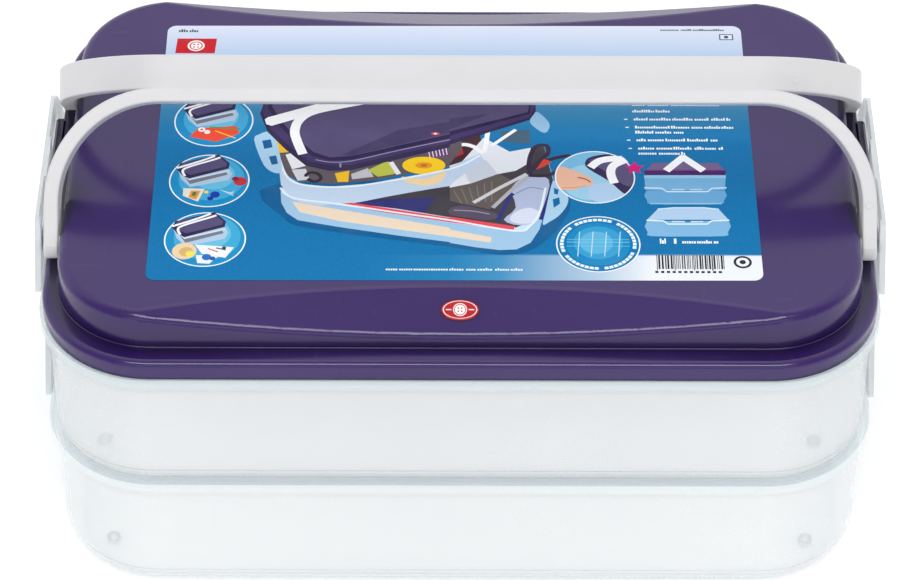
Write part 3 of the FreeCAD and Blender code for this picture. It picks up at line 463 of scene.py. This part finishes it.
# upper tray
poly((150,194,226),closed([(36.4, 22.9), (39.6, 31.1), (44.8, 25.4), (46.8, 19.6), (44.6, 13.9), (40.5, 16.3)],3))
poly((192,212,234),[(-98.6, 10.8), (-93.9, -8.6), (-89.8, -21.4), (-82.8, -27.7), (-67.3, -30), (-46.8, -27.5), (-5.5, -15.4), (-5.5, -13.8), (10, -3.3), (12.1, -8.1), (-3.4, -25.8), (-5.5, -29.2), (-26, -34.1), (-51.6, -42), (-72, -44.6), (-82.3, -42.2), (-88.7, -35.9), (-92.5, -28.5), (-93.7, -18.2)])
poly((96,86,92),[(-98.8, 10.8), (-89.8, -20.6), (-82.9, -25.8), (-67.4, -27.6), (-46.8, -25.2), (-5.6, -13.5), (-5.6, -11.7), (0.6, -0.1), (0.6, 11.2), (-5.6, 4.7), (-62.8, -6.9)])
poly((236,236,240),[(-91.1, -4.6), (-84.8, -1.8), (-80, -13.4), (-87.2, -16.3)])
poly((242,190,30),[(-96.5, 6.7), (-91.3, 5.1), (-89.4, -2.5), (-94.1, -3)])
poly((214,214,220),[(-87.4, -16.6), (-80.1, -15.8), (-77.8, -24.5), (-84, -25.3)])
line((48,38,54),closed([(-79.9, -22.1), (-78, -18.9), (-73.8, -19.7), (-72.1, -23.7), (-75.7, -26.1)],3),2.0)
poly((246,190,26),[(-65, -19.4), (-57.5, -17.2), (-57.9, -26), (-63.3, -26.3)])
poly((194,194,200),[(-56.6, -20), (-48, -15.1), (-44.8, -22), (-55.9, -24.1)])
poly((190,196,72),[(-48, -16.7), (-37.8, -9.2), (-32.4, -19.2), (-42.7, -22)])
line((238,238,242),[(-36.2, -10.3), (-31.9, -19.9)],2.6)
x,y=(-19, -12.8); ell((252,206,22),x,y,11.2,4.6*1.5)
ell((236,150,30),x,y,4.4,2.5); ell((196,110,20),x,y,1.8,1.1)
poly((110,60,120),[(-17.1, -2.1), (-6.7, 2.3), (-5.6, -5), (-14.9, -6.7)])
for k in range(6):
    line((228, 228, 232), [(-16.5 + 1.77 * k, -2.1 + 0.66 * k), (-15.8 + 1.77 * k, -6.6 + 0.49 * k)], 0.5)
poly((240,214,168),closed([(-30.3, -21.9), (-18.9, -23.4), (-7.6, -17.8), (-10.7, -26.6), (-18.9, -29), (-27.2, -26.6)],3))
line((232,242,250),smooth([(-93.9, -8.6), (-89.8, -21.7), (-82.8, -28), (-67.3, -30.3), (-46.7, -27.9), (-5.5, -15.7), (10, -4.6)]),1.3)
line((226,238,247),smooth([(-92.7, -30.9), (-85.5, -39), (-61.8, -43.6), (-31, -50.4), (-5.4, -55.8), (27.7, -63.9), (35.4, -60.3), (40.6, -49.1), (43.8, -30.3)]),1.2)
# left flap
poly((170,208,234),closed([(-107.9, 7.5), (-105.1, 12.1), (-100, 14), (-96.3, 6.7), (-93.3, -8.6), (-92.7, -16.6), (-94.5, -19.5), (-99.2, -17), (-103, -10.3)],3))
poly((8,92,152),[(-103.7, 6.7), (-99.2, 7.8), (-98, 1.4), (-102.3, 0)])
poly((8,92,152),[(-99.7, -6.1), (-95.9, -5.2), (-94.6, -11.8), (-97.9, -12.8)])
# lid
poly((46,34,76),[(-105.6, 28.8), (-102.4, 47.1), (36.2, 51.1), (39.5, 41.1), (39.6, 31.1), (36.4, 24.5), (-5.6, 3.9), (-5.6, 1.8), (-56.3, -16.8), (-67.7, -17.5), (-80.2, -13.4), (-91, -0.6), (-101, 13.7)])
poly((64,48,98),[(-104.6, 30.4), (-101.8, 47.1), (35.8, 51.1), (38.9, 39.4), (38.6, 31.9), (35.9, 26.1), (-5.6, 7.1), (-5.6, 5.5), (-56.4, -12.6), (-67.8, -13.3), (-79.3, -9.5), (-89.6, 2.7), (-100.1, 17.3)])
poly((40,26,72),[(-101.8, 33.8), (-100.1, 43.8), (34.5, 47.8), (37.1, 37.8), (36.4, 29.4), (-5.7, 11.2), (-5.7, 9.2), (-56.5, -8.4), (-67.9, -9.1), (-77.4, -5.3), (-87.1, 6), (-96, 20.6)])
poly((84,74,114),[(-99.8, 35.5), (-98, 43.8), (34, 47.8), (36.3, 37.7), (35.4, 30.8), (-5.7, 14.8), (-5.7, 12.5), (-56.5, -5.5), (-68, -6.6), (-76.4, -2.4), (-85.1, 8.2), (-94, 22.2)])
poly((68,58,98),[(-61.8, -4.6), (-31.9, 16), (-5.7, 22.7), (-5.7, 25.1), (15.3, 29.4), (-5.7, 16.1), (-5.7, 13.5), (-56.6, -5.2)])
line((150,142,178),smooth([(-75.2, -8.5), (-67.8, -10.4), (-56.5, -9.4), (-31.7, -0.6), (-5.6, 8)]),0.7)
line((150,142,178),[(-62.3, -11.4), (-62.2, -14.6)],1.0)
poly((248,248,250),[(-103, 24.2), (-101.5, 25.8), (-64, 42.3), (-42.9, 45.7), (-42.8, 39.9), (-74.3, 30.3), (-99.1, 18.9), (-102.1, 20.2)])
line((248,248,250),smooth([(-82, -4.1), (-85, 5.1), (-86.9, 14.1), (-85.1, 23.1), (-78.5, 30.2), (-63.9, 35.6), (-37.6, 42.7), (-5.8, 47.6)]),5.0)
x,y=(-13.2, 12.8); ell((232,84,92),x,y,2.2,1.1); ell((250,236,236),x,y,0.8,0.6)
# ---------------- circles on the left
def mini(cx,cy,s=1.0):
    def q(*p): return [(cx+a*0.1*s,cy-b*0.147*s) for a,b in p]
    poly((176,202,226),q((-158,-50),(-100,-8),(110,-58),(128,-30),(112,4),(-88,42),(-138,0)))
    poly((120,120,136),q((-128,-22),(-96,6),(96,-40),(104,-26),(-90,26)))
    line((226,238,247),q((-150,-40),(-98,2),(112,-48)),0.5)
    poly((44,32,76),q((-168,-58),(-150,-90),(50,-138),(112,-90),(108,-60),(-98,-4),(-135,-22)))
    poly((84,74,116),q((-150,-70),(-140,-92),(48,-128),(98,-88),(92,-72),(-92,-24),(-122,-38)))
    line((248,248,250),smooth(q((-165,-62),(-60,-96),(30,-130))),1.3)
    line((248,248,250),smooth(q((-120,-18),(-134,-48),(-100,-70),(20,-108),(60,-122))),1.3)
for n,(cx,cy) in enumerate(((-129.7,22.7),(-129.6,-25.5),(-129.4,-71.2))):
    ell((244,250,253),cx,cy,20.8,n=56)
    ell((20,140,196),cx,cy,20.1,n=56)
    ell((62,168,214),cx+1,cy+1.5,17.0,n=48)
    ell((104,190,224),cx+2,cy+4,11.0,n=40)
    mini(cx+(-1 if n else 0),cy+1.0,0.98)
    if n==0:
        poly((236,74,44),[(cx-8,cy-6),(cx+12,cy-4),(cx+14,cy-10),(cx+2,cy-17),(cx-12,cy-13)])
        line((40,150,70),[(cx-2,cy-5),(cx+14,cy-6.5)],0.8); line((250,190,40),[(cx+1,cy-8),(cx+12,cy-14)],0.8)
        ell((240,240,240),cx-6,cy-7,1.9); ell((236,236,236),cx-3,cy-9,1.6); ell((236,74,44),cx-6,cy-7,0.7)
    if n==1:
        ell((198,40,52),cx+16,cy-0.5,3.4); ell((150,20,40),cx+13.4,cy+1.5,1.8)
        poly((232,224,206),[(cx-13,cy-6),(cx-2,cy-6.5),(cx-5,cy-16.5),(cx-13,cy-12)]); poly((226,150,50),[(cx-9,cy-8),(cx-4,cy-8),(cx-6,cy-15),(cx-10,cy-13)])
        poly((70,120,70),[(cx-8,cy-9),(cx-6,cy-9),(cx-6.5,cy-12),(cx-8.5,cy-12)])
        ell((28,58,170),cx+3.5,cy-11,2.5); ell((24,48,150),cx+1.2,cy-14,1.6); ell((250,220,60),cx-1,cy-9,1.1)
        for k in range(5): line((205,222,238),[(cx+6+k*1.4,cy-7-k*0.8),(cx+13,cy-12+k)],0.35)
    if n==2:
        ell((236,208,166),cx-10,cy-9,6.2); ell((214,178,120),cx-9,cy-9.5,3.6); ell((240,224,90),cx-7,cy-11,2.2)
        poly((240,240,242),[(cx-5,cy-4),(cx+15,cy-6),(cx+11,cy-14),(cx-1,cy-11)]); poly((234,236,240),[(cx-4,cy-12),(cx+8,cy-12),(cx+3,cy-18.5),(cx-3,cy-18)])
        line((200,50,50),[(cx+2,cy-7),(cx+7,cy-9.5)],0.7); line((30,40,90),[(cx+6,cy-6.5),(cx+11,cy-8)],0.8); ell((60,60,80),cx+10,cy-6.5,1.1)
        ell((40,110,190),cx+1.5,cy-13.5,2.4); ell((30,90,170),cx+4.5,cy-14.5,1.5)
# ---------------- hand and flap circle
cx,cy=69.5,-21.8
ell((244,250,253),cx,cy,20.8,n=56); ell((120,186,224),cx,cy,20.1,n=56); ell((156,206,232),cx-3,cy-4,14,n=40)
def clipc(pts,r=20.1):
    out=[]
    for x,y in pts:
        d=math.hypot(x-cx,y-cy)
        if d>r: x,y=cx+(x-cx)*r/d,cy+(y-cy)*r/d
        out.append((x,y))
    return out
poly((176,206,234),clipc(closed([(65.8, -32.5), (68.7, -27.8), (77, -27), (84, -34.8), (78.7, -41.4), (72.5, -42.4), (66.6, -38.4)],4)))
poly((50,36,82),clipc(closed([(64.6, -11.4), (67.2, -6), (77.7, -3.3), (85.9, -6.2), (90.7, -17.4), (90.4, -26.9), (85, -35.1), (77.1, -25.4), (67, -15.9)],4)))
poly((90,80,120),clipc(closed([(67.1, -9.8), (70.3, -6.6), (78.7, -5.6), (85.8, -8.8), (89.7, -19), (87.8, -28.5), (83.2, -26.9), (75.2, -17.4)],4)))
line((250,250,252),smooth([(67.4, -14), (71.8, -9.1), (77.6, -7.2), (84, -7.2)]),4.6)
line((250,250,252),smooth([(85.9, -7.8), (80, -11.8), (78, -15.8), (78, -20.9), (79.5, -26.6)]),4.6)
poly((236,184,156),clipc(closed([(48.5, -15.2), (52.5, -13.6), (57.6, -15.9), (64.8, -20.4), (68.4, -24.1), (67.5, -28.6), (62.5, -29.6), (58.3, -32.1), (52.2, -31.5), (48.5, -27.9)],4)))
line((150,70,60),smooth([(60.6, -22), (64.7, -23.5), (67.2, -25.8)]),0.8)
line((214,150,120),smooth([(52.2, -30.2), (58.4, -30.2), (64.6, -28.6)]),0.6)
x,y=90.2,-14.4
poly((214,18,122),[(x+(5.4 if i%2==0 else 2.5)*math.sin(math.pi*i/5),y+(5.4 if i%2==0 else 2.5)*math.cos(math.pi*i/5)) for i in range(10)])
# ---------------- box from its end
poly((116,176,218),[(95, -20.2), (137.2, -20), (136.2, -31.8), (95.2, -31.9)])
poly((150,198,230),[(95, -20.2), (137.2, -20), (137.1, -22.2), (94.9, -22.4)])
poly((104,166,212),closed([(95.8, -32.4), (116, -32.3), (136, -32.2), (135.2, -40.1), (133, -42.8), (115.5, -43.1), (98.1, -42.9), (95.9, -40.3)],2))
line((206,228,244),[(94.7, -30.1), (103.7, -30.5), (106.2, -33.1), (127.3, -33), (129.5, -30.4), (137.1, -29.9)],1.0)
line((180,212,236),[(108.8, -31.4), (115.5, -31.4)],1.0); line((180,212,236),[(118.1, -31.4), (124.5, -31.3)],1.0)
line((160,204,232),[(97.1, -42.6), (134, -42.4)],0.7)
poly((116,96,138),[(96.4, -15.8), (99.9, -10.3), (133.6, -10.1), (136.4, -15.6)])
poly((74,26,98),[(94.7, -15.8), (137.8, -15.6), (136.8, -19.7), (95.6, -19.9)])
poly((112,60,130),[(94.7, -15.8), (137.8, -15.6), (137.6, -16.5), (94.9, -16.7)])
line((250,250,252),[(106.5, -16.5), (116.3, -4.9)],4.2)
line((250,250,252),[(125.8, -16.4), (114.9, -4.9)],4.2)
poly((176,206,234),[(95.1, -55.4), (101, -46.8), (109.3, -45.7), (124.6, -45.6), (132.2, -46.7), (137, -55.2), (127.2, -54.9), (104.8, -55)])
poly((128,182,222),closed([(95.2, -56), (116, -56.8), (136.9, -55.8), (135.9, -64.8), (134.4, -67.5), (115.5, -67.9), (96.6, -67.7), (95.3, -64.9)],2))
line((226,240,250),[(95, -55.5), (103.5, -56), (105.9, -58.4), (125.7, -58.3), (128.4, -55.8), (137.2, -55.3)],1.0)
line((206,228,244),[(107.8, -56.5), (114.4, -56.5)],1.0); line((206,228,244),[(117.5, -56.5), (123.9, -56.5)],1.0)
line((214,232,246),[(101, -46.8), (109.3, -45.7), (124.6, -45.6), (132.2, -46.7)],0.8)
# plain marks under the tray: a large and a small block row
words((250,252,255),101.2,104.6,-73.4,3.4,3,4); poly((250,252,255),[(108.3,-73.4),(109.6,-73.4),(109.6,-69.6),(108.3,-69.6)])
words((250,252,255),112.5,131,-73.2,2.2,4,8)
# ---------------- grid circle
cx,cy=69.9,-73.9
ell((236,246,251),cx,cy,21.4,n=60); ell((0,118,178),cx,cy,20.7,n=60); ell((18,134,190),cx,cy,16.2,n=52); ell((52,156,206),cx,cy+1,12.5,n=44); ell((92,178,218),cx-1,cy+1,8.5,n=36)
for dy,w in ((3.4,0.35),(1.4,0.5),(-1.6,0.35)):
    hw=math.sqrt(16**2-dy**2); line((128,198,228),[(cx-hw,cy+dy),(cx+hw,cy+dy)],w)
for dx in (-10,-3.2,3.6,10.6):
    line((196,228,242),[(cx+dx+0.8,cy+9.5),(cx+dx-0.6,cy-9.5)],0.45)
for i in range(46):
    a=2*math.pi*i/46
    if i%9==8: continue
    r0,r1=17.6,19.4; w=0.055
    poly((236,246,251),[(cx+r*math.cos(a+s),cy+r*math.sin(a+s)) for r,s in ((r0,-w),(r1,-w),(r1,w),(r0,w))])
# ---------------- bullet rows
for yy,x0,x1,b in ((37.6,90.5,136,1),(32.2,90.5,113,0),(25.6,91,142,1),(19.0,91.5,142.5,1),(14.9,91.5,117,0),(8.6,92,133.5,1),(1.9,92.6,137,1),(-2.2,92.6,117,0)):
    words((244,250,253),x0,x1,yy-1.4,1.9,4,11)
    if b: poly((244,250,253),[(x0-5,yy-0.9),(x0-3.2,yy-0.9),(x0-3.2,yy-0.2),(x0-5,yy-0.2)])
# ---------------- bars, mark, footer
x=99.0
while x<133:
    w=random.choice((0.35,0.35,0.6,0.9)); poly((24,24,28),[(x,-92.6 if (x-99)%9>0.8 else -93.6),(x+w,-92.6 if (x-99)%9>0.8 else -93.6),(x+w,-82.2),(x,-82.2)]); x+=w+random.choice((0.35,0.5,0.8))
for k in range(12): poly((24,24,28),[(98+k*2.9,-95.6),(99.6+k*2.9,-95.6),(99.6+k*2.9,-94.1),(98+k*2.9,-94.1)])
ell((30,30,34),142.3,-87.3,4.6,n=36); ell((236,238,244),142.3,-87.3,3.3,n=32); ell((30,30,34),142.3,-87.3,1.6,n=24)
words((232,242,248),-37.4,31.5,-94.2,1.6,4,9)
# ---------------- top row: red patch with a plain button, small rows
poly((196,20,32),[(-153.4,79.6),(-132.2,79.6),(-131.6,92.2),(-152.8,92.2)])
ell((246,240,240),-142.5,86,4.6,n=36); ell((196,20,32),-142.5,86,3.6,n=32); ell((246,240,240),-142.5,86,2.9,n=28)
for a in (-1.1,1.1):
    for b in (-1.1,1.1): ell((196,20,32),-142.5+a,86+b,0.55,n=12)
words((70,74,92),-152.5,-139.5,97.9,2.0,4,5)
words((70,74,92),108,144,100.2,1.3,5,10)
poly((70,74,92),[(139.5,92.3),(147,92.3),(147,97.3),(139.5,97.3)]); poly((214,224,242),[(140.1,92.9),(146.4,92.9),(146.4,96.7),(140.1,96.7)]); ell((70,74,92),143.2,94.8,1.2,n=18)

top_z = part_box("top_label")[1][2]
mm_scale = Matrix.Scale(0.001, 4)
sheet_of("label_art", ART, Matrix.Translation((0, 0, top_z + 0.00001)) @ mm_scale, 0.05,
         "lid", ink.m)

# plain button motif on the badge
ART = []
for sx, c in ((8.6, (244, 236, 236)), (8.1, None)):
    ell(c, 0, 0, sx, sx * 0.56, 48)
ell((244, 236, 236), 0, 0, 3.5, n=40)
ell(None, 0, 0, 3.0, n=36)
ell((244, 236, 236), 0, 0, 2.6, n=36)
for a in (-0.85, 0.85):
    for b in (-0.85, 0.85):
        ell(None, a, b, 0.42, n=14)
for s in (-1, 1):
    line((244, 236, 236), [(s * 4.3, 0.0), (s * 7.1, 0.0)], 0.55)
lo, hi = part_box("badge")
slope = math.radians(25.5)
nrm = Vector((0, -math.sin(slope), math.cos(slope)))
mid = (Vector(lo) + Vector(hi)) / 2
face = max(v.co.dot(nrm) for v in N["badge"].data.vertices)
mid += nrm * (face - mid.dot(nrm) + 0.00001)
sheet_of("badge_motif", ART, Matrix.Translation(mid) @ Matrix.Rotation(slope, 4, "X") @ mm_scale,
         0.05, "lid", ink.m)


# ------------------------------------------------- beads moulded on the lid
def ring_path(hx, hy, r, n=14):
    pts = []
    for cx, cy, a0 in ((hx - r, hy - r, 0), (-hx + r, hy - r, 90), (-hx + r, -hy + r, 180), (hx - r, -hy + r, 270)):
        for k in range(n + 1):
            a = math.radians(a0 + 90 * k / n)
            pts.append((cx + r * math.cos(a), cy + r * math.sin(a), math.cos(a), math.sin(a)))
    return pts


def bead(name, hx, hy, r, z, section, m, body):
    """A closed moulding: section is (outward, up) points swept round a
    rounded rectangle; all in metres."""
    bm = bmesh.new()
    path = ring_path(hx, hy, r)
    rings = [[bm.verts.new((x + nx * o, y + ny * o, z + u)) for o, u in section] for x, y, nx, ny in path]
    for k in range(len(rings)):
        a, b = rings[k - 1], rings[k]
        for j in range(len(section)):
            i = (j + 1) % len(section)
            bm.faces.new((a[j], a[i], b[i], b[j]))
    bmesh.ops.recalc_face_normals(bm, faces=bm.faces)
    for f in bm.faces:
        f.smooth = True
    me = bpy.data.meshes.new(name)
    bm.to_mesh(me)
    bm.free()
    ob = bpy.data.objects.new(name, me)
    scene.collection.objects.link(ob)
    ob.data.materials.append(m)
    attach(ob, body)
    return ob


def half_round(w, h, n=7):
    return [(w * math.cos(math.pi * k / n) * 0.5, h * math.sin(math.pi * k / n)) for k in range(n + 1)] \
        + [(-w / 2, -0.0003), (w / 2, -0.0003)]


z_ledge = 0.1647
bead("dome_foot_bead", 0.20445, 0.13135, 0.0500, z_ledge, half_round(0.0012, 0.0010), lid.m, "lid")


# ------------------------------------------- small moulded marks and foot rims
def lathe(bm, profile, place, n=28):
    rings = []
    for r, h in profile:
        if r < 1e-6:
            rings.append([bm.verts.new(place @ Vector((0, 0, h)))])
        else:
            rings.append([bm.verts.new(place @ Vector((r * math.cos(2 * math.pi * k / n),
                                                       r * math.sin(2 * math.pi * k / n), h)))
                          for k in range(n)])
    for a, b in zip(rings, rings[1:]):
        for k in range(n):
            i = (k + 1) % n
            if len(a) == 1:
                bm.faces.new((a[0], b[k], b[i]))
            elif len(b) == 1:
                bm.faces.new((a[k], b[0], a[i]))
            else:
                bm.faces.new((a[k], b[k], b[i], a[i]))


def turned(name, profile, places, m, body):
    bm = bmesh.new()
    for place in places:
        lathe(bm, profile, place)
    bmesh.ops.recalc_face_normals(bm, faces=bm.faces)
    for f in bm.faces:
        f.smooth = True
    me = bpy.data.meshes.new(name)
    bm.to_mesh(me)
    bm.free()
    ob = bpy.data.objects.new(name, me)
    scene.collection.objects.link(ob)
    ob.data.materials.append(m)
    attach(ob, body)
    return ob


def facing(pos, normal):
    return Matrix.Translation(pos) @ Vector(normal).to_track_quat("Z", "Y").to_matrix().to_4x4()


# dished gate marks on each handle: one on an arm's edge, one on the corner
DISH = [(0, 0.00002), (0.0011, 0.00004), (0.0016, 0.00020), (0.0020, 0.00020),
        (0.0023, 0.0), (0.0023, -0.00015), (0, -0.00015)]
th = math.radians(47.3)
for side, body in ((-1, "handle_front"), (1, "handle_rear")):
    along = Vector((0, -side * math.cos(th), math.sin(th)))
    out = Vector((0, side * math.sin(th), math.cos(th)))
    piv = Vector((0, side * 0.062, 0.1726))
    arm = piv + Vector((0.2082, 0, 0)) + along * 0.0206 + out * 0.0073
    a = math.radians(19.0)
    cor = (piv + Vector((0.1532 + 0.059 * math.sin(a), 0, 0)) + along * (0.0205 + 0.059 * math.cos(a))
           - out * 0.0045)
    cn = Vector((math.sin(a), 0, 0)) + along * math.cos(a)
    turned(body + "_marks", DISH, [facing(arm, out), facing(cor, cn)], hand.m, body)

# dark rounded rings round the feet, at the foot and on the floor above it: painted shade standing in for the foot
# rims seen through the walls
rim = Mat("foot_rim_shade", IOR=1.45, Alpha=0.9)
rim.color(rim.ramp(rim.noise(300, 2), [(0.3, (0.20, 0.34, 0.40)), (0.7, (0.26, 0.40, 0.46))]))
rim.rough(rim.remap(rim.noise(500, 2), 0.2, 0.35))
FOOT = [(0.0031 + 0.0007 * math.cos(2 * math.pi * k / 10), 0.0007 * math.sin(2 * math.pi * k / 10))
        for k in range(11)]
for body, z in (("tray_lower", 0.0010), ("tray_upper", 0.0744)):
    hit, at_floor, _, _ = N[body].ray_cast(Vector((0.184, -0.1065, z + 0.045)), Vector((0, 0, -1)))
    floor_z = at_floor.z if hit else z + 0.0025
    turned(body + "_foot_rims", FOOT,
           [Matrix.Translation((sx * 0.184, sy * 0.1065, h)) for sx in (-1, 1) for sy in (-1, 1)
            for h in (z, floor_z)],
           rim.m, body)

# ------------------------------------------------------------- stage, light
def quad(name, size, loc, m):
    bm = bmesh.new()
    bmesh.ops.create_grid(bm, x_segments=2, y_segments=2, size=size / 2)
    me = bpy.data.meshes.new(name)
    bm.to_mesh(me)
    bm.free()
    ob = bpy.data.objects.new(name, me)
    ob.location = loc
    scene.collection.objects.link(ob)
    ob.data.materials.append(m)
    return ob


fl = Mat("floor_pale", IOR=1.45, Specular_IOR_Level=0.25,
         Emission_Color=(1, 1, 1, 1), Emission_Strength=0.10)
fl.color(fl.ramp(fl.noise(3, 3), [(0.3, (0.955, 0.955, 0.955)), (0.7, (0.97, 0.97, 0.97))]))
fl.rough(fl.remap(fl.noise(60, 3), 0.6, 0.75))
quad("floor", 14.0, (0, 0, 0), fl.m)

world = scene.world or bpy.data.worlds.new("world")
scene.world = world
world.use_nodes = True
bg = world.node_tree.nodes["Background"]
wt = world.node_tree
wtc = wt.nodes.new("ShaderNodeTexCoord")
wsep = wt.nodes.new("ShaderNodeSeparateXYZ")
wmap = wt.nodes.new("ShaderNodeMapRange")
wmap.interpolation_type = "SMOOTHSTEP"
wmap.inputs["From Min"].default_value, wmap.inputs["From Max"].default_value = -0.35, 0.25
wmap.inputs["To Min"].default_value, wmap.inputs["To Max"].default_value = 0.44, 1.10
wt.links.new(wtc.outputs["Generated"], wsep.inputs[0])
wt.links.new(wsep.outputs["Y"], wmap.inputs["Value"])
wt.links.new(wmap.outputs["Result"], bg.inputs["Strength"])
bg.inputs["Color"].default_value = (1, 1, 1, 1)


def area(name, loc, aim, size, power, size_y=None):
    d = bpy.data.lights.new(name, "AREA")
    d.energy, d.size = power, size
    if size_y:
        d.shape, d.size_y = "RECTANGLE", size_y
    o = bpy.data.objects.new(name, d)
    o.location = loc
    o.rotation_euler = (Vector(aim) - Vector(loc)).to_track_quat("-Z", "Y").to_euler()
    scene.collection.objects.link(o)


area("softbox", (0, -1.45, 1.95), (0, 0, 0.15), 1.9, 24, 0.6)
area("front", (0, -2.6, 0.9), (0, 0, 0.1), 3.0, 8, 1.0)
area("overhead", (0, 0.9, 2.6), (0, 0, 0.1), 1.6, 3, 1.2)
scene.view_settings.view_transform = "Standard"
